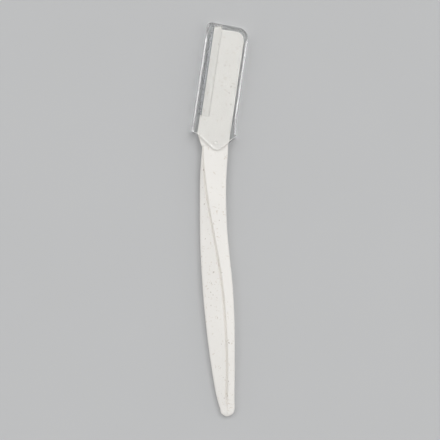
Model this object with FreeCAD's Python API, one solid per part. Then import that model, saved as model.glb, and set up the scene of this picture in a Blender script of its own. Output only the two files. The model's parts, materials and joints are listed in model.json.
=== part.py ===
"""Eyebrow razor: a bowed straw-fibre handle, a guarded blade clamped along its head, and a clear push-on cap.

The razor lies on its flat back. X runs to the right across the front face, Y from the tail to the head and
Z up off the surface that it lies on. All lengths are in millimetres.
"""

import FreeCAD, Part
import math
import os
from FreeCAD import Vector

# Handle, from the tail tip to the root of the head
handle_length = 103.8
grip_width = 11.6
grip_thickness = 5.2
handle_sway = 5.0
facet_drop = 1.5
right_edge_drop = 0.55
tail_width = 5.7
tail_round = 3.2
tail_thickness = 3.1
edge_round = 0.9
back_round = 1.1
back_sink = 0.45
crease_width = 1.15
crease_depth = 1.05
crease_step = 0.18
loft_degree = 3

# Head slab, in its own frame: across from the neck's middle, along from the head's root
head_tilt = 8.4
head_width = 11.9
head_length = 43.9
head_thickness = 3.2
head_corner_round = 3.4
head_edge_round = 0.35
neck_width = 10.1
neck_inset = 0.12
neck_step = 0.3
neck_tuck = 4.0
shoulder_height = 3.7
shoulder_overhang = 0.6
shoulder_run = 4.8
seat_reach = 0.35

# Blade, guard and clamp
blade_width = 5.8
blade_thickness = 0.25
blade_reveal = 1.25
blade_bevel = 0.8
blade_end_gap = 0.5
guard_sheet = 0.12
guard_nose_gap = 0.08
guard_width = 4.2
guard_pitch = 1.0
guard_slot_width = 0.5
guard_slot_depth = 1.15
clamp_width = 3.0
clamp_start = 10.4
clamp_nose = 1.0
clamp_lip = 0.85
clamp_flat = 0.6
clamp_joint = 0.07
clamp_edge_round = 0.2
ledge_thickness = 1.0
pin_diameter = 1.2
pin_depth = 0.7
pin_fit = 0.03
blade_hole_fit = 0.06
blade_slot_fit = 0.03

# Cap
cap_wall = 0.9
cap_face_gap = 0.3
cap_end_gap = 0.3
cap_blade_gap = 0.45
cap_back_gap = 0.65
cap_edge_round = 1.3
cap_left_corner = 1.8
cap_right_corner = 4.4
cap_cavity_round = 0.45
cap_lip_round = 0.4
cap_top_slope = 0.7
cap_flare = 0.9
cap_flare_length = 6.5
mouth_left = 4.0
mouth_right = 4.5
tongue_length = 2.4
tongue_round = 2.6
tongue_offset = 0.85
mouth_sill_run = 3.0
mouth_sill_rise = 1.0
detent_across = 0.1
detent_along = 1.1
detent_sphere = 2.0
detent_dimple = 0.25
detent_bump = 0.2

overrun = 5.0
touch = 1e-6

# Each row is one cross-section of the grip: shares of handle_length, grip_width, handle_sway, the local
# width (where the crease lies from the left edge), grip_thickness, facet_drop, right_edge_drop and the rise
# of the back from its lowest plane to the head's back.
grip_shares = [
    (0.058, 0.560, 1.000, 0.530, 0.680, 0.60, 0.80, 0.00),
    (0.127, 0.690, 0.860, 0.625, 0.775, 0.75, 0.90, 0.00),
    (0.197, 0.790, 0.750, 0.672, 0.860, 0.90, 1.00, 0.00),
    (0.335, 0.944, 0.560, 0.682, 0.960, 1.00, 1.00, 0.00),
    (0.474, 1.000, 0.363, 0.650, 1.000, 1.00, 1.00, 0.00),
    (0.590, 0.957, 0.170, 0.580, 0.990, 1.00, 0.95, 0.02),
    (0.728, 0.886, 0.020, 0.400, 0.945, 0.95, 0.80, 0.30),
    (0.867, 0.870, 0.010, 0.185, 0.885, 0.80, 0.55, 0.75),
    (0.931, 0.872, 0.080, 0.095, 0.850, 0.50, 0.35, 0.93),
]
tail_turns = (6, 20, 40, 64, 90)
tail_sway_share = 1.09
tail_crease_share = 0.50
tail_dome_share = 0.2
neck_sway_share = 0.17
neck_crease_share = 0.045
neck_drop_share = 0.22
neck_right_drop_share = 0.2
crease_fade_share = 0.2
crease_reach_share = 0.8
tail_drop_share = 0.3
tail_right_drop_share = 0.5
pin_shares = (1 / 6, 1 / 2, 5 / 6)
facet_round_share = 0.4

# Levels and places that follow from the sizes above
head_back = cap_wall + cap_face_gap
head_front = head_back + head_thickness
head_right = neck_width / 2
head_left = head_right - head_width
shoulder_left = head_left - shoulder_overhang
ledge_top = head_back + ledge_thickness
blade_back = ledge_top + guard_sheet
blade_front = blade_back + blade_thickness
clamp_back = blade_front + guard_sheet
clamp_right = head_left + clamp_width
clamp_end = head_length + clamp_nose
blade_edge = head_left - blade_reveal
blade_start = clamp_start + blade_end_gap
blade_end = head_length - blade_end_gap
guard_nose = blade_edge - guard_nose_gap - guard_sheet
cap_left = guard_nose - cap_blade_gap - cap_wall
cap_right = head_right + cap_back_gap + cap_wall
cap_top = clamp_end + cap_end_gap + cap_wall
cap_thickness = 2 * (cap_wall + cap_face_gap) + head_thickness
pin_places = [clamp_start + (clamp_end - clamp_start) * share for share in pin_shares]
pin_across = head_left + clamp_width / 2


def rounded_wire(corners, radii):
    """A closed wire through the corners, each turned by an arc of its radius, or left sharp where that is zero."""
    count = len(corners)
    runs = []
    for i, corner in enumerate(corners):
        before = corners[i - 1] - corner
        after = corners[(i + 1) % count] - corner
        before.normalize()
        after.normalize()
        half = before.getAngle(after) / 2
        reach = radii[i] / math.tan(half)
        inward = before + after
        inward.normalize()
        middle = corner + inward * (radii[i] / math.sin(half) - radii[i])
        runs.append((corner + before * reach, middle, corner + after * reach))
    edges = []
    for i, (start, middle, end) in enumerate(runs):
        if radii[i] > 0:
            edges.append(Part.Arc(start, middle, end).toShape())
        edges.append(Part.LineSegment(end, runs[(i + 1) % count][0]).toShape())
    return Part.Wire(edges)


def prism(corners, radii, low, high):
    """A flat outline, given as pairs across and along, raised from one level to another."""
    wire = rounded_wire([Vector(x, y, low) for x, y in corners], radii)
    return Part.Face(wire).extrude(Vector(0, 0, high - low))


def strip(section, start, end):
    """A section, given as pairs across and up, drawn out along the head from start to end."""
    points = [Vector(x, start, z) for x, z in section]
    return Part.Face(Part.makePolygon(points + points[:1])).extrude(Vector(0, end - start, 0))


def block(low, high):
    """A box between two opposite corners."""
    size = high - low
    return Part.makeBox(size.x, size.y, size.z, low)


def on_head(shape):
    """Turns a shape from the head's own frame to its place at the top of the neck."""
    placed = shape.copy()
    placed.rotate(Vector(0, 0, 0), Vector(0, 0, 1), -head_tilt)
    placed.translate(Vector(neck_sway_share * handle_sway, handle_length, 0))
    return placed


def grip_section(along, middle, width, crease, front, back, left_drop, right_drop, depth):
    """One cross-section of the grip: flat back, two facets on the front and the crease between them."""
    left = middle - width / 2
    right = middle + width / 2
    valley = left + width * crease
    lip = crease_width / 2 * depth / crease_depth
    step = crease_step * depth / crease_depth
    left_lip = Vector(valley - lip, along, front - step)
    left_corner = Vector(left, along, front - step - left_drop)
    facet = (left_lip - left_corner).Length
    side = left_corner.z - back
    corners = [
        Vector(left, along, back),
        Vector(right, along, back),
        Vector(right, along, front - right_drop),
        Vector(valley + lip, along, front),
        Vector(valley, along, front - depth),
        left_lip,
        left_corner,
    ]
    room = facet_round_share * min(side, width)
    low_round = min(back_round, room)
    left_round = min(edge_round, room, facet_round_share * facet)
    right_round = min(edge_round, room)
    return rounded_wire(corners, [low_round, low_round, right_round, 0, 0, 0, left_round])


def grip():
    """The bowed grip, lofted from the round tail to a tongue inside the head, with its back cut flat."""
    sections = []
    for turn in tail_turns:
        swell = math.sin(math.radians(turn))
        dome = tail_dome_share + (1 - tail_dome_share) * swell
        rise = (1 - dome) * tail_thickness / 2
        sections.append(
            grip_section(
                tail_round * (1 - math.cos(math.radians(turn))),
                tail_sway_share * handle_sway,
                tail_width * swell,
                tail_crease_share,
                tail_thickness - rise,
                rise - back_sink,
                facet_drop * tail_drop_share * swell,
                right_edge_drop * tail_right_drop_share * swell,
                crease_depth * crease_fade_share * swell,
            )
        )
    for along, width, sway, crease, front, drop, right_drop, rise in grip_shares:
        sections.append(
            grip_section(
                along * handle_length,
                sway * handle_sway,
                width * grip_width,
                crease,
                front * grip_thickness,
                rise * (head_back + neck_inset + back_sink) - back_sink,
                drop * facet_drop,
                right_drop * right_edge_drop,
                min(crease_depth, crease_reach_share * crease * width * grip_width),
            )
        )
    for tuck in (0, neck_tuck):
        sections.append(
            grip_section(
                handle_length + tuck,
                neck_sway_share * handle_sway + tuck * math.tan(math.radians(head_tilt)),
                neck_width - 2 * neck_inset,
                neck_crease_share,
                head_front - neck_step - neck_inset,
                head_back + neck_inset,
                neck_drop_share * facet_drop,
                neck_right_drop_share * right_edge_drop,
                crease_depth * crease_fade_share,
            )
        )
    solid = Part.makeLoft(sections, True, False, False, loft_degree)
    below = block(
        Vector(-handle_length, -handle_length, -back_sink - overrun),
        Vector(handle_length, 2 * handle_length, 0),
    )
    return solid.cut(below)


def head_slab():
    """The flat head with its shoulder, the stepped pocket for the clamp, the blade slot and the pin holes."""
    neck_left = -neck_width / 2
    neck_drop = shoulder_height - shoulder_run
    seat_left = neck_left + shoulder_run / 2
    outline = [
        (shoulder_left, shoulder_height),
        (shoulder_left, clamp_start),
        (head_left, clamp_start),
        (head_left, clamp_end),
        (clamp_right, clamp_end),
        (clamp_right, head_length),
        (head_right, head_length),
        (head_right, mouth_height(head_right) - seat_reach),
        (tongue_offset, -tongue_length - seat_reach),
        (seat_left, mouth_height(seat_left) - seat_reach),
        (neck_left, neck_drop),
    ]
    radii = [head_edge_round, head_edge_round, 0, 0, 0, 0, head_corner_round, 0, tongue_round, 0, 0]
    slab = prism(outline, radii, head_back, head_front)
    rims = [
        edge
        for edge in slab.Edges
        if edge.BoundBox.ZLength < head_edge_round / 2 and edge.BoundBox.YMax > shoulder_height - head_edge_round / 2
    ]
    slab = slab.makeFillet(head_edge_round, rims)
    slab = slab.cut(below_mouth(seat_reach, head_front - neck_step, head_front + overrun))
    pocket = block(
        Vector(head_left - overrun, clamp_start, ledge_top),
        Vector(clamp_right, clamp_end + overrun, head_front + overrun),
    )
    spine = blade_edge + blade_width
    slot = block(
        Vector(head_left, blade_start - blade_slot_fit, blade_back - blade_slot_fit),
        Vector(spine + blade_slot_fit, blade_end + blade_slot_fit, blade_front + blade_slot_fit),
    )
    slab = slab.cut(pocket).cut(slot)
    for place in pin_places:
        slab = slab.cut(pin(place, pin_diameter / 2 + pin_fit, pin_depth + pin_fit))
    return slab


def pin(place, radius, depth):
    """A round pin that hangs from the clamp through the blade stack into the ledge."""
    bottom = ledge_top - depth
    return Part.makeCylinder(radius, clamp_back - bottom, Vector(pin_across, place, bottom))


def detent(radius, reach, level):
    """A ball whose cap stands reach below a level, at the middle of the cap's tongue."""
    return Part.makeSphere(radius, Vector(detent_across, detent_along, level + radius - reach))


def make_handle():
    """The moulded handle: grip and head in one piece, with the dimple that the cap's bump rests over."""
    dimple = detent(detent_sphere, detent_bump, head_front)
    return grip().fuse(on_head(head_slab())).cut(on_head(dimple)).removeSplitter()


def make_blade():
    """The single-edged steel strip, ground on both faces, with a hole for each pin."""
    middle = (blade_back + blade_front) / 2
    spine = blade_edge + blade_width
    section = [
        (blade_edge, middle),
        (blade_edge + blade_bevel, blade_front),
        (spine, blade_front),
        (spine, blade_back),
        (blade_edge + blade_bevel, blade_back),
    ]
    blade = strip(section, blade_start, blade_end)
    for place in pin_places:
        blade = blade.cut(pin(place, pin_diameter / 2 + blade_hole_fit, pin_depth))
    return on_head(blade)


def make_guard():
    """The folded steel guard: two leaves round the blade's edge, slotted into a comb so that hair reaches it."""
    inner = blade_thickness / 2
    outer = inner + guard_sheet
    middle = (blade_back + blade_front) / 2
    bend = guard_nose + outer
    back_edge = guard_nose + guard_width
    start = blade_start

    def leaf_point(across, up):
        return Vector(across, start, middle + up)

    edges = [
        Part.LineSegment(leaf_point(back_edge, outer), leaf_point(bend, outer)),
        Part.Arc(leaf_point(bend, outer), leaf_point(bend - outer, 0), leaf_point(bend, -outer)),
        Part.LineSegment(leaf_point(bend, -outer), leaf_point(back_edge, -outer)),
        Part.LineSegment(leaf_point(back_edge, -outer), leaf_point(back_edge, -inner)),
        Part.LineSegment(leaf_point(back_edge, -inner), leaf_point(bend, -inner)),
        Part.Arc(leaf_point(bend, -inner), leaf_point(bend - inner, 0), leaf_point(bend, inner)),
        Part.LineSegment(leaf_point(bend, inner), leaf_point(back_edge, inner)),
        Part.LineSegment(leaf_point(back_edge, inner), leaf_point(back_edge, outer)),
    ]
    section = Part.Face(Part.Wire([edge.toShape() for edge in edges]))
    guard = section.extrude(Vector(0, blade_end - blade_start, 0))
    count = int((blade_end - blade_start - guard_slot_width) / guard_pitch)
    first = (blade_start + blade_end - (count - 1) * guard_pitch - guard_slot_width) / 2
    slots = [
        block(
            Vector(guard_nose - overrun, first + i * guard_pitch, head_back - overrun),
            Vector(guard_nose + guard_slot_depth, first + i * guard_pitch + guard_slot_width, head_front + overrun),
        )
        for i in range(count)
    ]
    holes = [pin(place, pin_diameter / 2 + blade_hole_fit, pin_depth) for place in pin_places]
    return on_head(guard.cut(Part.makeCompound(slots + holes)))


def make_clamp():
    """The bevelled strip that closes the pocket over the blade, with the pins moulded on its back."""
    right = clamp_right - clamp_joint
    section = [
        (head_left, clamp_back),
        (right, clamp_back),
        (right, head_front),
        (right - clamp_flat, head_front),
        (head_left, clamp_back + clamp_lip),
    ]
    clamp = strip(section, clamp_start + clamp_joint, clamp_end)
    ridges = [
        edge
        for edge in clamp.Edges
        if edge.BoundBox.YLength > clamp_width and edge.BoundBox.ZMin > clamp_back + clamp_lip / 2
    ]
    clamp = clamp.makeFillet(clamp_edge_round, ridges)
    for place in pin_places:
        clamp = clamp.fuse(pin(place, pin_diameter / 2, pin_depth))
    return on_head(clamp.removeSplitter())


def mouth_height(across):
    """How far along the head the cap's mouth edge lies at a place across, before its tip is rounded."""
    corner = cap_left + mouth_sill_run
    corner_height = mouth_left - mouth_sill_rise
    if across < tongue_offset:
        share = (across - corner) / (tongue_offset - corner)
        return corner_height - share * (corner_height + tongue_length)
    share = (across - tongue_offset) / (cap_right + cap_flare - tongue_offset)
    return share * (mouth_right + tongue_length) - tongue_length


def below_mouth(drop, low, high):
    """All that lies below the cap's mouth edge, moved down the head by drop, between two levels."""
    corners = [
        (cap_left - overrun, mouth_left),
        (cap_left - overrun, -3 * overrun),
        (cap_right + 2 * overrun, -3 * overrun),
        (cap_right + 2 * overrun, mouth_right),
        (cap_right + cap_flare, mouth_right),
        (tongue_offset, -tongue_length),
        (cap_left + mouth_sill_run, mouth_left - mouth_sill_rise),
        (cap_left, mouth_left),
    ]
    radii = [0, 0, 0, 0, 0, tongue_round, tongue_round, 0]
    return prism([(across, along - drop) for across, along in corners], radii, low, high)


def cap_shell():
    """The outside of the cap, rounded along both faces, before its mouth is cut."""
    corners = [
        (cap_left, -overrun),
        (cap_left, cap_top),
        (cap_right, cap_top - cap_top_slope),
        (cap_right, mouth_right + cap_flare_length),
        (cap_right + cap_flare, mouth_right),
        (cap_right + cap_flare, -overrun),
    ]
    radii = [0, cap_left_corner, cap_right_corner, cap_flare_length, cap_flare_length, 0]
    shell = prism(corners, radii, 0, cap_thickness)
    rims = [
        edge
        for edge in shell.Edges
        if edge.BoundBox.ZLength < cap_wall / 2 and edge.BoundBox.YMax > 0
    ]
    return shell.makeFillet(cap_edge_round, rims)


def cap_cavity():
    """The space inside the cap, whose end follows the stepped end of the head and clamp."""
    left = cap_left + cap_wall
    right = cap_right - cap_wall
    step = clamp_right + cap_end_gap
    corners = [
        (left, -2 * overrun),
        (left, clamp_end + cap_end_gap),
        (step, clamp_end + cap_end_gap),
        (step, head_length + cap_end_gap),
        (right, head_length + cap_end_gap),
        (right, mouth_right + cap_flare_length),
        (right + cap_flare, mouth_right),
        (right + cap_flare, -2 * overrun),
    ]
    inner_corner = head_corner_round + cap_end_gap
    radii = [0, cap_cavity_round, 0, 0, inner_corner, cap_flare_length, cap_flare_length, 0]
    return prism(corners, radii, cap_wall, cap_thickness - cap_wall)


def meets(shape, other):
    """Whether two shapes touch."""
    return shape.distToShape(other)[0] < touch


def lip_edges(cap, open_end, cavity):
    """The edges round the outside of the cap's mouth, without the seams that run through its wall."""
    edges = []
    for edge in cap.Edges:
        middle = Part.Vertex(edge.valueAt((edge.FirstParameter + edge.LastParameter) / 2))
        if meets(middle, open_end) and not meets(edge, cavity):
            edges.append(edge)
    return edges


def make_cap():
    """The clear cap: a flat case that fits over head and blade, with a rounded tongue on both faces."""
    open_end = below_mouth(0, -overrun, cap_thickness + overrun)
    cavity = cap_cavity()
    cap = cap_shell().cut(cavity).cut(open_end)
    cap = cap.makeFillet(cap_lip_round, lip_edges(cap, open_end, cavity))
    ceiling = cap_thickness - cap_wall
    bump = detent(detent_sphere, detent_bump, ceiling).common(block(
        Vector(detent_across - overrun, detent_along - overrun, 0),
        Vector(detent_across + overrun, detent_along + overrun, ceiling + cap_wall / 2),
    ))
    cap = cap.fuse(bump).cut(detent(detent_sphere, detent_dimple, cap_thickness))
    return on_head(cap.removeSplitter())


def main():
    os.makedirs("parts", exist_ok=True)
    pieces = {
        "handle": make_handle(),
        "blade": make_blade(),
        "guard_comb": make_guard(),
        "blade_clamp": make_clamp(),
        "cap": make_cap(),
    }
    whole = Part.makeCompound(list(pieces.values())).optimalBoundingBox(False, False)
    for name, shape in pieces.items():
        shape.translate(Vector(-whole.Center.x, -whole.Center.y, 0))
        print(name, shape.isValid(), len(shape.Solids), round(shape.Volume, 2), shape.optimalBoundingBox(False, False))
        shape.exportStep(f"parts/{name}.step")


main()
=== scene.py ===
"""Dresses the eyebrow razor: straw plastic handle, steel blade behind a comb guard, and a clear cap."""

import json
import math
from typing import NamedTuple

import bpy
from bpy.props import FloatProperty, FloatVectorProperty, IntProperty, PointerProperty
from mathutils import Matrix, Vector


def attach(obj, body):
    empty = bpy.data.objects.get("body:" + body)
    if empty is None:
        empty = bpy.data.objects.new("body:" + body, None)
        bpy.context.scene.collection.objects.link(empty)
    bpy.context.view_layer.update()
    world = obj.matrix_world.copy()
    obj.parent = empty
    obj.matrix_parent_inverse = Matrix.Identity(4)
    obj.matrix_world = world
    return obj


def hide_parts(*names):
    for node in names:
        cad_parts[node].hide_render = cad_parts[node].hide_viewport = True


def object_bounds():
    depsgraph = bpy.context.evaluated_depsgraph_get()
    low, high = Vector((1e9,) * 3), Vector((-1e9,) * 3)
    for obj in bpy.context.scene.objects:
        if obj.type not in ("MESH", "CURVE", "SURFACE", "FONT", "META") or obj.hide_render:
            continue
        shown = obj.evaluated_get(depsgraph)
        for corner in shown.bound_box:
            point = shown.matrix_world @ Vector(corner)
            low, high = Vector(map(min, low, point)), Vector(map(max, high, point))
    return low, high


bl_info = {
    "name": "Eyebrow razor",
    "version": (1, 0, 0),
    "blender": (4, 5, 0),
    "location": "3D View > Sidebar > Razor",
    "description": "Finishes for an eyebrow razor with a capped, guarded blade",
    "category": "Object",
}

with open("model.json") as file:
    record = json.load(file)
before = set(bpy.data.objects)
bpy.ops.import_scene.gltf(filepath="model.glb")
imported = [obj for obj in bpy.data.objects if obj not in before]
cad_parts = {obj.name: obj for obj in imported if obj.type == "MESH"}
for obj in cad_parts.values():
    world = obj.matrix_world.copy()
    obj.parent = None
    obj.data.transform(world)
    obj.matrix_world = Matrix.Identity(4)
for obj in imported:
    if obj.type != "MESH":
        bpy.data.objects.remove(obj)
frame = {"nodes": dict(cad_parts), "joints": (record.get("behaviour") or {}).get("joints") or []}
CAD_BOX = [list(corner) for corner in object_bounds()]

MM = 0.001
PER_M = 1000.0

# The head is tilted on the handle, and the cap slides along it.
SLIDE = Vector(frame["joints"][0]["axis"])
HEAD_TILT = math.atan2(SLIDE.x, SLIDE.y)


def head_span(node, ceiling=math.inf):
    """(lowest, highest) corner of a node below a ceiling, measured across and along the head, in metres."""
    upright = Matrix.Rotation(HEAD_TILT, 3, "Z")
    places = [upright @ vertex.co for vertex in frame["nodes"][node].data.vertices]
    axes = list(zip(*(place for place in places if place.z < ceiling)))
    return Vector([min(axis) for axis in axes]), Vector([max(axis) for axis in axes])


GUARD_LOW, GUARD_HIGH = head_span("guard_comb")
BLADE_EDGE = head_span("blade")[0].x

# The clamp's pins are all of it that reaches below the guard.
PIN_COUNT = 3
PINS_LOW, PINS_HIGH = head_span("blade_clamp", ceiling=GUARD_LOW.z)
PIN_RADIUS = (PINS_HIGH.x - PINS_LOW.x) / 2.0
FIRST_PIN = PINS_LOW + Vector((PIN_RADIUS, PIN_RADIUS, 0.0))
LAST_PIN = PINS_HIGH - Vector((PIN_RADIUS, PIN_RADIUS, 0.0))


class Wire:
    """An output socket. Arithmetic on wires adds Math nodes to their tree."""

    def __init__(self, graph, socket):
        self.graph = graph
        self.socket = socket

    def out(self, name):
        """Another output of the same node."""
        return Wire(self.graph, socket_of(self.socket.node.outputs, name))

    def __add__(self, other):
        return self.graph.math("ADD", self, other)

    __radd__ = __add__

    def __sub__(self, other):
        return self.graph.math("SUBTRACT", self, other)

    def __rsub__(self, other):
        return self.graph.math("SUBTRACT", other, self)

    def __mul__(self, other):
        return self.graph.math("MULTIPLY", self, other)

    __rmul__ = __mul__

    def __truediv__(self, other):
        return self.graph.math("DIVIDE", self, other)

    def __pow__(self, other):
        return self.graph.math("POWER", self, other)

    def __lt__(self, other):
        return self.graph.math("LESS_THAN", self, other)

    def __gt__(self, other):
        return self.graph.math("GREATER_THAN", self, other)

    def __abs__(self):
        return self.graph.math("ABSOLUTE", self)

    def least(self, other):
        return self.graph.math("MINIMUM", self, other)

    def most(self, other):
        return self.graph.math("MAXIMUM", self, other)

    def share(self):
        """Kept between 0 and 1."""
        return self.least(1.0).most(0.0)

    def sign(self):
        return self.graph.math("SIGN", self)

    def sine(self):
        return self.graph.math("SINE", self)

    def cosine(self):
        return self.graph.math("COSINE", self)

    def root(self):
        return self.graph.math("SQRT", self)

    def near(self, other, reach):
        """1 where the two differ by no more than reach, 0 elsewhere."""
        return self.graph.math("COMPARE", self, other, reach)


def socket_of(sockets, key):
    """A node's socket by its place, its identifier or its name."""
    if isinstance(key, int):
        return sockets[key]
    for socket in sockets:
        if socket.identifier == key:
            return socket
    return sockets[key]


class Graph:
    """Adds nodes to one node tree."""

    def __init__(self, tree):
        self.tree = tree

    def node(self, kind, settings=None, sockets=None):
        """A node with its settings made first, then its sockets' values or links. Gives its first output."""
        made = self.tree.nodes.new(kind)
        for name, value in (settings or {}).items():
            setattr(made, name, value)
        for key, value in (sockets or {}).items():
            socket = socket_of(made.inputs, key)
            for item in value if isinstance(value, list) else [value]:
                if isinstance(item, Wire):
                    self.tree.links.new(item.socket, socket)
                else:
                    socket.default_value = item
        shown = [socket for socket in made.outputs if socket.enabled]
        return Wire(self, shown[0]) if shown else None

    def math(self, operation, *terms):
        return self.node("ShaderNodeMath", {"operation": operation}, dict(enumerate(terms)))

    def vector_math(self, operation, sockets):
        return self.node("ShaderNodeVectorMath", {"operation": operation}, sockets)

    def vector(self, **axes):
        return self.node("ShaderNodeCombineXYZ", None, axes)

    def axes(self, vector):
        return self.node("ShaderNodeSeparateXYZ", None, {"Vector": vector})

    def mix(self, share, first, second):
        return self.node(
            "ShaderNodeMix",
            {"data_type": "RGBA"},
            {"Factor_Float": share, "A_Color": first, "B_Color": second},
        )

    def noise(self, vector, scale, detail=2.0):
        return self.node("ShaderNodeTexNoise", None, {"Vector": vector, "Scale": scale, "Detail": detail})


class Fleck(NamedTuple):
    """One kind of fleck in the straw plastic: radians, millimetres, and shares of one cell."""

    turn: tuple
    size: tuple
    density: float
    softness: float
    offset: float


LONG_FIBRES = Fleck(turn=(0.3, 0.2, 0.35), size=(0.6, 4.6, 0.6), density=0.24, softness=0.20, offset=0.0)
CROSS_FIBRES = Fleck(turn=(0.2, 0.4, 1.40), size=(0.6, 4.0, 0.6), density=0.24, softness=0.20, offset=5.0)
HUSKS = Fleck(turn=(0.5, 0.3, -0.75), size=(0.9, 2.6, 0.9), density=0.22, softness=0.22, offset=11.0)
SPECKS = Fleck(turn=(0.7, 0.4, 0.5), size=(0.8, 1.7, 0.8), density=0.09, softness=0.14, offset=17.0)
OFFSET_SHARES = (1.0, 0.7, 0.3)
LEAST_REACH, REACH_SPREAD = 0.14, 0.24
CLAMP_SHIFT = 23.0
PLASTIC_IOR = 1.49


class Finish(Graph):
    """A material whose nodes work in millimetres on the piece."""

    def __init__(self, name):
        self.material = bpy.data.materials.new(name)
        self.material.use_nodes = True
        super().__init__(self.material.node_tree)
        self.tree.nodes.clear()
        place = self.node("ShaderNodeTexCoord").out("Object")
        self.place = self.vector_math("SCALE", {"Vector": place, "Scale": PER_M})
        self.on_head = self.node(
            "ShaderNodeMapping", None, {"Vector": self.place, "Rotation": (0.0, 0.0, HEAD_TILT)}
        )

    def drawn_out(self, scale):
        """The place on the head, with each axis scaled for a pattern that runs in lines."""
        return self.node("ShaderNodeMapping", None, {"Vector": self.on_head, "Scale": scale})

    def ruffled(self, fineness, reach):
        """The place pushed about by noise, so that what is drawn on it gets an uneven outline."""
        push = self.noise(self.place, fineness).out("Color")
        centred = self.vector_math("SUBTRACT", {0: push, 1: (0.5, 0.5, 0.5)})
        return self.vector_math("MULTIPLY_ADD", {0: centred, 1: (reach, reach, reach), 2: self.place})

    def flecks(self, place, fleck, shift):
        """Scattered long flecks, 1 in the middle of each and 0 between them."""
        start = tuple((shift + fleck.offset) * share for share in OFFSET_SHARES)
        stretched = self.node(
            "ShaderNodeMapping",
            {"vector_type": "TEXTURE"},
            {"Vector": place, "Location": start, "Rotation": fleck.turn, "Scale": fleck.size},
        )
        cell = self.node("ShaderNodeTexVoronoi", None, {"Vector": stretched, "Scale": 1.0})
        draw = self.node("ShaderNodeSeparateColor", None, {"Color": cell.out("Color")})
        reach = LEAST_REACH + draw.out("Green") * REACH_SPREAD
        return ((reach - cell) / fleck.softness).share() * (draw.out("Red") < fleck.density)

    def bump(self, height, strength, depth):
        """A normal from a height whose full range is that many millimetres deep."""
        return self.node(
            "ShaderNodeBump", None, {"Height": height, "Strength": strength, "Distance": depth * MM}
        )

    def surface(self, sockets):
        shader = self.node("ShaderNodeBsdfPrincipled", None, sockets)
        self.node("ShaderNodeOutputMaterial", None, {"Surface": shader})
        return self.material


def dress(node, material):
    """Puts a finish on a CAD node that stays in view."""
    for slot in frame["nodes"][node].material_slots:
        slot.material = material


def rgb(colour, strength=1.0):
    """A colour at some strength, with its alpha."""
    return (*(min(1.0, part * strength) for part in colour), 1.0)


def straw_plastic(name, colour, settings, shift):
    """Moulded plastic filled with straw: pale, with faint tan fibres and a few brown specks."""
    finish = Finish(name)
    uneven = finish.ruffled(fineness=0.9, reach=0.9)
    long_fibres, cross_fibres, husks, specks = (
        finish.flecks(uneven, fleck, shift) for fleck in (LONG_FIBRES, CROSS_FIBRES, HUSKS, SPECKS)
    )
    fibres = (long_fibres + cross_fibres + husks).least(1.0)
    cloud = finish.noise(finish.place, scale=0.09, detail=3.0)
    pale = finish.mix(cloud, rgb(colour, strength=0.95), rgb(colour, strength=1.035))
    tan = finish.mix(fibres * settings.fibre_strength, pale, rgb(settings.fibre_colour))
    speckled = finish.mix(specks * settings.speck_strength, tan, rgb(settings.speck_colour))
    grain = finish.noise(finish.place, scale=2.6, detail=3.0)
    grain_dulling, fibre_dulling = 0.12, 0.05
    grain_share, fibre_share = 0.6, 0.4
    return finish.surface(
        {
            "Base Color": speckled,
            "Roughness": settings.roughness + (grain - 0.5) * grain_dulling + fibres * fibre_dulling,
            "IOR": PLASTIC_IOR,
            "Specular IOR Level": 0.45,
            "Normal": finish.bump(grain * grain_share + fibres * fibre_share, strength=0.22, depth=0.03),
        }
    )


def brushed_steel(name, colour, roughness, edge, bevel):
    """Rolled strip steel with fine lines along the head, ground across beside its edge."""
    finish = Finish(name)
    lines_along, lines_across = (14.0, 0.16, 14.0), (0.3, 16.0, 0.3)
    rolled = finish.noise(finish.drawn_out(lines_along), scale=1.0, detail=3.0)
    ground = finish.noise(finish.drawn_out(lines_across), scale=1.0, detail=3.0)
    across = finish.axes(finish.on_head).out("X")
    bevel_softness = 0.06
    beside = ((edge + bevel - across) / bevel_softness).share()
    lines = rolled + (ground - rolled) * beside
    stain = finish.noise(finish.on_head, scale=0.22)
    tone = (lines + stain) / 2.0
    line_dulling, bevel_polish = 0.16, 0.06
    return finish.surface(
        {
            "Base Color": finish.mix(tone, rgb(colour, strength=0.86), rgb(colour, strength=1.12)),
            "Metallic": 1.0,
            "Roughness": roughness + (lines - 0.5) * line_dulling - beside * bevel_polish,
            "Normal": finish.bump(lines, strength=0.18, depth=0.02),
        }
    )


def clear_plastic(settings):
    """Clear moulded plastic, barely wavy from the mould, with faint handling haze."""
    finish = Finish("clear_plastic")
    flow_lines = (0.22, 0.07, 0.22)
    flow = finish.noise(finish.drawn_out(flow_lines), scale=1.0, detail=1.0)
    haze = finish.noise(finish.on_head, scale=0.4, detail=4.0)
    haze_start, haze_dulling = 0.4, 0.05
    return finish.surface(
        {
            "Base Color": finish.mix(haze, rgb(settings.tint), rgb(settings.tint, strength=0.985)),
            "Roughness": settings.roughness + (haze - haze_start).most(0.0) * haze_dulling,
            "IOR": PLASTIC_IOR,
            "Transmission Weight": 1.0,
            "Normal": finish.bump(flow, strength=0.15, depth=0.12),
        }
    )


def floor_paper(settings):
    """Plain matt paper, very slightly uneven in tone."""
    finish = Finish("floor_paper")
    tone = finish.noise(finish.place, scale=0.02)
    colour = settings.floor_colour
    return finish.surface(
        {
            "Base Color": finish.mix(tone, rgb(colour, strength=0.985), rgb(colour, strength=1.015)),
            "Roughness": 0.85,
            "Specular IOR Level": 0.2,
        }
    )


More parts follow.
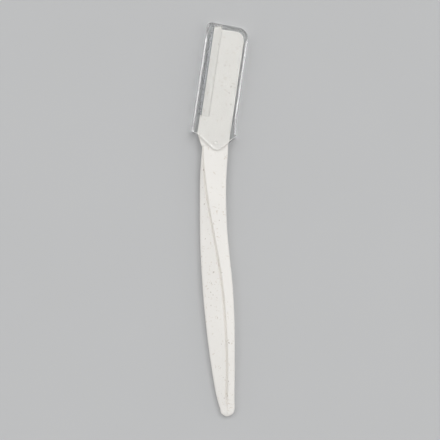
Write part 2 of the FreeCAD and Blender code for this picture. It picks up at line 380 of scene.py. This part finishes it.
class RazorPlasticSettings(bpy.types.PropertyGroup):
    """Colours and grain of the straw plastic."""

    handle_colour: FloatVectorProperty(
        name="Handle", description="Pale body colour of the handle",
        default=(0.835, 0.815, 0.780), min=0.0, max=1.0, subtype="COLOR",
    )
    # The clamp's colour is a little darker and greyer than the handle's: painted shade of the clamp's bevel
    # and of the clear cap over it.
    clamp_shaded_colour: FloatVectorProperty(
        name="Clamp", description="Body colour of the strip that clamps the blade",
        default=(0.800, 0.780, 0.745), min=0.0, max=1.0, subtype="COLOR",
    )
    fibre_colour: FloatVectorProperty(
        name="Fibres", description="Colour of the straw fibres",
        default=(0.480, 0.385, 0.270), min=0.0, max=1.0, subtype="COLOR",
    )
    speck_colour: FloatVectorProperty(
        name="Specks", description="Colour of the small dark specks",
        default=(0.220, 0.160, 0.110), min=0.0, max=1.0, subtype="COLOR",
    )
    fibre_strength: FloatProperty(
        name="Fibre strength", description="How clearly the fibres show",
        default=0.34, min=0.0, max=1.0, subtype="FACTOR",
    )
    speck_strength: FloatProperty(
        name="Speck strength", description="How clearly the specks show",
        default=0.45, min=0.0, max=1.0, subtype="FACTOR",
    )
    roughness: FloatProperty(
        name="Roughness", description="Mean roughness of the moulded surface",
        default=0.43, min=0.0, max=1.0, subtype="FACTOR",
    )


class RazorSteelSettings(bpy.types.PropertyGroup):
    """Colours of the blade and its guard, and the guard's comb."""

    blade_colour: FloatVectorProperty(
        name="Blade", description="Colour of the blade steel",
        default=(0.400, 0.405, 0.415), min=0.0, max=1.0, subtype="COLOR",
    )
    guard_colour: FloatVectorProperty(
        name="Guard", description="Colour of the guard steel",
        default=(0.340, 0.345, 0.355), min=0.0, max=1.0, subtype="COLOR",
    )
    blade_roughness: FloatProperty(
        name="Blade roughness", description="Mean roughness of the blade steel",
        default=0.27, min=0.0, max=1.0, subtype="FACTOR",
    )
    guard_roughness: FloatProperty(
        name="Guard roughness", description="Mean roughness of the guard steel",
        default=0.33, min=0.0, max=1.0, subtype="FACTOR",
    )
    blade_bevel: FloatProperty(
        name="Ground width", description="Width of the ground band beside the edge",
        default=0.8 * MM, min=0.0, subtype="DISTANCE", unit="LENGTH",
    )
    sheet: FloatProperty(
        name="Guard sheet", description="Thickness of the guard's steel",
        default=0.12 * MM, min=0.02 * MM, subtype="DISTANCE", unit="LENGTH",
    )
    slot_width: FloatProperty(
        name="Slot width", description="Width of each slot of the comb",
        default=0.5 * MM, min=0.05 * MM, subtype="DISTANCE", unit="LENGTH",
    )
    slot_depth: FloatProperty(
        name="Slot depth", description="Depth of each slot from the guard's nose",
        default=1.15 * MM, min=0.5 * MM, subtype="DISTANCE", unit="LENGTH",
    )
    slot_count: IntProperty(
        name="Slots", description="Number of slots along the guard",
        default=32, min=1, max=200,
    )
    pin_clearance: FloatProperty(
        name="Pin clearance", description="Gap between the clamp's pins and their holes in the guard",
        default=0.06 * MM, min=0.0, subtype="DISTANCE", unit="LENGTH",
    )


class RazorCapSettings(bpy.types.PropertyGroup):
    """Look of the clear cap."""

    tint: FloatVectorProperty(
        name="Tint", description="Tint of the clear plastic",
        default=(0.985, 0.99, 0.99), min=0.0, max=1.0, subtype="COLOR",
    )
    roughness: FloatProperty(
        name="Roughness", description="Roughness of the polished faces",
        default=0.025, min=0.0, max=1.0, subtype="FACTOR",
    )


class RazorStageSettings(bpy.types.PropertyGroup):
    """Floor, light and camera."""

    floor_colour: FloatVectorProperty(
        name="Floor", description="Colour of the floor",
        default=(0.520, 0.525, 0.530), min=0.0, max=1.0, subtype="COLOR",
    )
    floor_reach: FloatProperty(
        name="Floor reach", description="Distance from the razor to the floor's rim",
        default=6.0, min=0.5, subtype="DISTANCE", unit="LENGTH",
    )
    floor_gap: FloatProperty(
        name="Floor gap", description="Gap under the razor, so that its clear back shows no flicker",
        default=0.02 * MM, min=0.0, subtype="DISTANCE", unit="LENGTH",
    )
    zenith: FloatProperty(
        name="Ceiling light", description="Brightness of the room straight above",
        default=0.24, min=0.0,
    )
    horizon: FloatProperty(
        name="Wall light", description="Brightness of the room at the level of the floor",
        default=0.86, min=0.0,
    )
    key: FloatProperty(
        name="Key light", description="Light of the broad key lamp in watts to a square metre",
        default=1.08, min=0.0,
    )
    fill: FloatProperty(
        name="Fill light", description="Light of the broad fill lamp in watts to a square metre",
        default=0.60, min=0.0,
    )
    right_card: FloatProperty(
        name="Right card", description="Light of the pale wall at the right in watts to a square metre",
        default=0.53, min=0.0,
    )
    left_card: FloatProperty(
        name="Left card", description="Light of the pale wall at the left in watts to a square metre",
        default=0.38, min=0.0,
    )
    lamp_spread: FloatProperty(
        name="Lamp spread", description="How wide the key and fill lamps look from the razor",
        default=math.radians(38.0), min=0.0, max=math.pi, subtype="ANGLE",
    )
    card_spread: FloatProperty(
        name="Card spread", description="How wide the pale walls at the sides look from the razor",
        default=math.radians(70.0), min=0.0, max=math.pi, subtype="ANGLE",
    )
    lens: FloatProperty(
        name="Lens", description="Focal length in millimetres",
        default=100.0, min=20.0, max=300.0,
    )
    fill_share: FloatProperty(
        name="Share of frame", description="Share of the picture's height that the razor takes",
        default=0.90, min=0.1, max=1.0, subtype="FACTOR",
    )


# Steps of one slot's width of the guard's sheet: along the blade, then from the nose back over one leaf.
SLOT_STEPS, TOOTH_STEPS = 4, 2
NOSE_STEPS, SIDE_STEPS, LEAF_STEPS = 4, 3, 2
OPEN_STEPS = NOSE_STEPS + SIDE_STEPS
HOLE_SIDES = 32
GUARD_SIZES = ("Length", "Width", "Height", "Sheet", "Slot Width", "Slot Depth", "Across", "Along", "Level")
HOLE_SIZES = ("Hole Radius", "Hole Across", "Hole Along", "Hole Pitch")
MERGE_REACH = 0.002 * MM
SHARP_ANGLE = math.radians(40.0)


def guard_tree():
    """Folds one slot's width of sheet, repeats it along the blade, gives it its thickness and drills it."""
    tree = bpy.data.node_groups.new("comb_guard", "GeometryNodeTree")
    face = tree.interface
    face.new_socket(name="Geometry", in_out="OUTPUT", socket_type="NodeSocketGeometry")
    for name in GUARD_SIZES + HOLE_SIZES:
        face.new_socket(name=name, in_out="INPUT", socket_type="NodeSocketFloat")
    for name in ("Slots", "Holes"):
        face.new_socket(name=name, in_out="INPUT", socket_type="NodeSocketInt")
    face.new_socket(name="Finish", in_out="INPUT", socket_type="NodeSocketMaterial")
    graph = Graph(tree)
    given = graph.node("NodeGroupInput")
    pitch = given.out("Length") / given.out("Slots")
    cell = folded_cell(graph, given, pitch)
    comb = merged(graph, row_of(graph, cell, given.out("Slots"), graph.vector(Y=pitch / 2.0), pitch))
    sheet = drilled(graph, thickened(graph, comb, given.out("Sheet")), given)
    smooth = graph.node(
        "GeometryNodeSetShadeSmooth", {"domain": "FACE"}, {"Geometry": sheet, "Shade Smooth": True}
    )
    edged = graph.node(
        "GeometryNodeSetShadeSmooth",
        {"domain": "EDGE"},
        {
            "Geometry": smooth,
            "Selection": graph.node("GeometryNodeInputMeshEdgeAngle") > SHARP_ANGLE,
            "Shade Smooth": False,
        },
    )
    start = graph.vector(X=given.out("Across"), Y=given.out("Along"), Z=given.out("Level"))
    placed = graph.node("GeometryNodeTransform", None, {"Geometry": edged, "Translation": start})
    tilt = (0.0, 0.0, -HEAD_TILT)
    on_head = graph.node("GeometryNodeTransform", None, {"Geometry": placed, "Rotation": tilt})
    plain = graph.node("GeometryNodeRealizeInstances", None, {"Geometry": on_head})
    finished = graph.node(
        "GeometryNodeSetMaterial", None, {"Geometry": plain, "Material": given.out("Finish")}
    )
    graph.node("NodeGroupOutput", None, {"Geometry": finished})
    return tree


def folded_cell(graph, given, pitch):
    """One slot and half a tooth on each side of it, as a bare sheet folded round the blade's edge."""
    columns, rows = SLOT_STEPS + TOOTH_STEPS, OPEN_STEPS + LEAF_STEPS
    grid = graph.node(
        "GeometryNodeMeshGrid",
        None,
        {
            "Size X": 2.0 * columns,
            "Size Y": 2.0 * rows,
            "Vertices X": 2 * columns + 1,
            "Vertices Y": 2 * rows + 1,
        },
    )
    at = graph.axes(graph.node("GeometryNodeInputPosition"))
    column, row = at.out("X"), at.out("Y")
    open_face = (abs(column) < float(SLOT_STEPS)) * (abs(row) < float(OPEN_STEPS))
    toothed = graph.node(
        "GeometryNodeDeleteGeometry", {"domain": "FACE"}, {"Geometry": grid, "Selection": open_face}
    )

    slot = given.out("Slot Width")
    into_slot = (abs(column) / SLOT_STEPS).least(1.0)
    into_tooth = (abs(column) - float(SLOT_STEPS)).most(0.0) / TOOTH_STEPS
    along = column.sign() * (into_slot * slot / 2.0 + into_tooth * (pitch - slot) / 2.0)

    radius = given.out("Height") / 2.0
    turn = (abs(row) / NOSE_STEPS).least(1.0) * (math.pi / 2.0)
    side = ((abs(row) - float(NOSE_STEPS)) / SIDE_STEPS).share()
    leaf = ((abs(row) - float(OPEN_STEPS)) / LEAF_STEPS).share()
    side_run = given.out("Slot Depth") - radius - slot / 2.0
    leaf_run = given.out("Width") - radius - side_run
    slot_end = abs(row).near(float(OPEN_STEPS), reach=0.1)
    rounding = (1.0 - into_slot * into_slot).most(0.0).root()
    nose = radius - radius * turn.cosine()
    across = nose + side * side_run + leaf * leaf_run + slot_end * rounding * slot / 2.0
    level = radius - row.sign() * radius * turn.sine()
    return graph.node(
        "GeometryNodeSetPosition",
        None,
        {"Geometry": toothed, "Position": graph.vector(X=across, Y=along, Z=level)},
    )


def row_of(graph, shape, count, start, pitch):
    """A shape repeated along the blade."""
    line = graph.node(
        "GeometryNodeMeshLine",
        {"mode": "OFFSET"},
        {"Count": count, "Start Location": start, "Offset": graph.vector(Y=pitch)},
    )
    copies = graph.node("GeometryNodeInstanceOnPoints", None, {"Points": line, "Instance": shape})
    return graph.node("GeometryNodeRealizeInstances", None, {"Geometry": copies})


def thickened(graph, outside, thickness):
    """A closed sheet inside the given faces, which point outwards."""
    inside = graph.node(
        "GeometryNodeExtrudeMesh",
        {"mode": "FACES"},
        {"Mesh": outside, "Offset Scale": 0.0 - thickness, "Individual": False},
    )
    # The faces that were pushed in still point outwards, so they are turned before the outside joins them.
    turned = graph.node("GeometryNodeFlipFaces", None, {"Mesh": inside})
    return merged(graph, graph.node("GeometryNodeJoinGeometry", None, {"Geometry": [outside, turned]}))


def drilled(graph, sheet, given):
    """The sheet with a round hole for each of the clamp's pins."""
    height = given.out("Height")
    drill = graph.node(
        "GeometryNodeMeshCylinder",
        None,
        {"Vertices": HOLE_SIDES, "Radius": given.out("Hole Radius"), "Depth": height * 2.0},
    )
    start = graph.vector(X=given.out("Hole Across"), Y=given.out("Hole Along"), Z=height / 2.0)
    drills = row_of(graph, drill, given.out("Holes"), start, given.out("Hole Pitch"))
    return graph.node(
        "GeometryNodeMeshBoolean",
        {"operation": "DIFFERENCE", "solver": "EXACT"},
        {"Mesh 1": sheet, "Mesh 2": drills},
    )


def merged(graph, geometry):
    return graph.node("GeometryNodeMergeByDistance", None, {"Geometry": geometry, "Distance": MERGE_REACH})


def grown(name, tree, values):
    """A plain mesh object made by a node tree with the named values."""
    piece = bpy.data.objects.new(name, bpy.data.meshes.new(name))
    bpy.context.scene.collection.objects.link(piece)
    modifier = piece.modifiers.new(name, "NODES")
    modifier.node_group = tree
    for item in tree.interface.items_tree:
        if item.in_out == "INPUT":
            modifier[item.identifier] = values[item.name]
    graph = bpy.context.evaluated_depsgraph_get()
    mesh = bpy.data.meshes.new_from_object(piece.evaluated_get(graph), depsgraph=graph)
    if not mesh.polygons:
        raise RuntimeError(f"{name} came out empty")
    piece.modifiers.clear()
    piece.data = mesh
    mesh.name = name
    return piece


class RAZOR_OT_handle(bpy.types.Operator):
    """Finishes the handle in straw plastic"""

    bl_idname = "razor.handle"
    bl_label = "Handle"

    def execute(self, context):
        settings = context.scene.razor_plastic
        dress("handle", straw_plastic("straw_plastic", settings.handle_colour, settings, shift=0.0))
        return {"FINISHED"}


class RAZOR_OT_clamp(bpy.types.Operator):
    """Finishes the strip that clamps the blade"""

    bl_idname = "razor.clamp"
    bl_label = "Blade clamp"

    def execute(self, context):
        settings = context.scene.razor_plastic
        # The clamp is the handle's straw plastic in its darker colour, which paints shade on the clamp.
        finish = straw_plastic("clamp_plastic", settings.clamp_shaded_colour, settings, shift=CLAMP_SHIFT)
        dress("blade_clamp", finish)
        return {"FINISHED"}


class RAZOR_OT_blade(bpy.types.Operator):
    """Finishes the blade in brushed steel with a ground edge"""

    bl_idname = "razor.blade"
    bl_label = "Blade"

    def execute(self, context):
        settings = context.scene.razor_steel
        finish = brushed_steel(
            "blade_steel",
            settings.blade_colour,
            settings.blade_roughness,
            edge=BLADE_EDGE * PER_M,
            bevel=settings.blade_bevel * PER_M,
        )
        dress("blade", finish)
        return {"FINISHED"}


class RAZOR_OT_guard(bpy.types.Operator):
    """Builds the comb guard folded round the blade's edge"""

    bl_idname = "razor.guard"
    bl_label = "Comb guard"

    def execute(self, context):
        settings = context.scene.razor_steel
        finish = brushed_steel(
            "guard_steel",
            settings.guard_colour,
            settings.guard_roughness,
            edge=GUARD_LOW.x * PER_M,
            bevel=0.0,
        )
        size = GUARD_HIGH - GUARD_LOW
        guard = grown(
            "guard",
            guard_tree(),
            {
                "Length": size.y,
                "Width": size.x,
                "Height": size.z,
                "Sheet": settings.sheet,
                "Slot Width": settings.slot_width,
                "Slot Depth": settings.slot_depth,
                "Across": GUARD_LOW.x,
                "Along": GUARD_LOW.y,
                "Level": GUARD_LOW.z,
                "Slots": settings.slot_count,
                "Hole Radius": PIN_RADIUS + settings.pin_clearance,
                "Hole Across": FIRST_PIN.x - GUARD_LOW.x,
                "Hole Along": FIRST_PIN.y - GUARD_LOW.y,
                "Hole Pitch": (LAST_PIN.y - FIRST_PIN.y) / (PIN_COUNT - 1),
                "Holes": PIN_COUNT,
                "Finish": finish,
            },
        )
        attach(guard, "razor")
        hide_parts("guard_comb")
        return {"FINISHED"}


class RAZOR_OT_cap(bpy.types.Operator):
    """Finishes the cap in clear plastic"""

    bl_idname = "razor.cap"
    bl_label = "Clear cap"

    def execute(self, context):
        dress("cap", clear_plastic(context.scene.razor_cap))
        return {"FINISHED"}


# Ways from the razor to the lamps, in metres. The lamps stand high, so that the cap's flat face mirrors
# none of them straight up or towards a low viewer.
KEY_WAY = Vector((0.33, 0.50, 1.00))
FILL_WAY = Vector((-0.46, 0.42, 1.00))
RIGHT_WAY = Vector((0.61, -0.09, 0.36))
LEFT_WAY = Vector((-0.61, 0.09, 0.36))
FLOOR_SIDES = 96
CEILING_POWER = 0.6
NEAREST, FARTHEST = 0.01, 10.0


class RAZOR_OT_stage(bpy.types.Operator):
    """Lays the floor and sets the lamps, the room light and the camera"""

    bl_idname = "razor.stage"
    bl_label = "Stage"

    def execute(self, context):
        settings = context.scene.razor_stage
        low, high = Vector(CAD_BOX[0]), Vector(CAD_BOX[1])
        self.lay_floor(context, settings, low.z - settings.floor_gap)
        for name, light, spread, way in (
            ("key", settings.key, settings.lamp_spread, KEY_WAY),
            ("fill", settings.fill, settings.lamp_spread, FILL_WAY),
            ("right_card", settings.right_card, settings.card_spread, RIGHT_WAY),
            ("left_card", settings.left_card, settings.card_spread, LEFT_WAY),
        ):
            self.hang_lamp(context, name, light, spread, way)
        self.light_room(context, settings)
        self.set_camera(context, settings, low, high)
        context.scene.view_settings.view_transform = "Standard"
        self.follow_light(context.scene.cycles)
        return {"FINISHED"}

    def lay_floor(self, context, settings, level):
        turns = [math.tau * i / FLOOR_SIDES for i in range(FLOOR_SIDES)]
        reach = settings.floor_reach
        rim = [(reach * math.cos(turn), reach * math.sin(turn), level) for turn in turns]
        mesh = bpy.data.meshes.new("floor")
        mesh.from_pydata(rim, [], [list(range(FLOOR_SIDES))])
        mesh.materials.append(floor_paper(settings))
        floor = bpy.data.objects.new("floor", mesh)
        context.scene.collection.objects.link(floor)

    def hang_lamp(self, context, name, light, spread, way):
        """A broad lamp far off in that direction, which lights the whole floor alike."""
        data = bpy.data.lights.new(name, "SUN")
        data.energy = light
        data.angle = spread
        lamp = bpy.data.objects.new(name, data)
        lamp.location = way
        lamp.rotation_mode = "QUATERNION"
        lamp.rotation_quaternion = (-way).to_track_quat("-Z", "Y")
        context.scene.collection.objects.link(lamp)

    def light_room(self, context, settings):
        world = bpy.data.worlds.new("room")
        world.use_nodes = True
        world.node_tree.nodes.clear()
        graph = Graph(world.node_tree)
        way = graph.axes(graph.node("ShaderNodeTexCoord").out("Generated"))
        rise = way.out("Z").share() ** CEILING_POWER
        strength = settings.horizon + rise * (settings.zenith - settings.horizon)
        white = rgb((1.0, 1.0, 1.0))
        light = graph.node("ShaderNodeBackground", None, {"Color": white, "Strength": strength})
        graph.node("ShaderNodeOutputWorld", None, {"Surface": light})
        context.scene.world = world

    def set_camera(self, context, settings, low, high):
        """Looks straight down, with the tail at the bottom of the picture."""
        data = bpy.data.cameras.new("camera")
        data.lens = settings.lens
        data.clip_start, data.clip_end = NEAREST, FARTHEST
        height = (high.y - low.y) / settings.fill_share
        distance = height * data.lens / data.sensor_width
        middle = (low + high) / 2.0
        camera = bpy.data.objects.new("camera", data)
        camera.location = (middle.x, middle.y, high.z + distance)
        context.scene.collection.objects.link(camera)
        context.scene.camera = camera

    def follow_light(self, paths):
        """Lets light run on inside the clear walls, which reflect it to and fro."""
        paths.blur_glossy = 0.0
        paths.max_bounces = 32
        paths.glossy_bounces = 24
        paths.transmission_bounces = 32


OPERATORS = (
    RAZOR_OT_handle,
    RAZOR_OT_clamp,
    RAZOR_OT_blade,
    RAZOR_OT_guard,
    RAZOR_OT_cap,
    RAZOR_OT_stage,
)

SETTINGS = {
    "razor_plastic": RazorPlasticSettings,
    "razor_steel": RazorSteelSettings,
    "razor_cap": RazorCapSettings,
    "razor_stage": RazorStageSettings,
}


class RAZOR_PT_panel(bpy.types.Panel):
    """Lists the razor's pieces and their settings"""

    bl_idname = "RAZOR_PT_panel"
    bl_label = "Eyebrow razor"
    bl_space_type = "VIEW_3D"
    bl_region_type = "UI"
    bl_category = "Razor"

    def draw(self, context):
        for operator in OPERATORS:
            self.layout.operator(operator.bl_idname)
        for name, group in SETTINGS.items():
            box = self.layout.box()
            box.label(text=group.__doc__)
            settings = getattr(context.scene, name)
            for prop in group.__annotations__:
                box.prop(settings, prop)


def register():
    for name, group in SETTINGS.items():
        bpy.utils.register_class(group)
        setattr(bpy.types.Scene, name, PointerProperty(type=group))
    for kind in (*OPERATORS, RAZOR_PT_panel):
        bpy.utils.register_class(kind)


def unregister():
    for kind in reversed((*OPERATORS, RAZOR_PT_panel)):
        bpy.utils.unregister_class(kind)
    for name, group in SETTINGS.items():
        delattr(bpy.types.Scene, name)
        bpy.utils.unregister_class(group)


def main():
    register()
    bpy.ops.razor.handle()
    bpy.ops.razor.clamp()
    bpy.ops.razor.blade()
    bpy.ops.razor.guard()
    bpy.ops.razor.cap()
    bpy.ops.razor.stage()


if __name__ == "__main__":
    main()
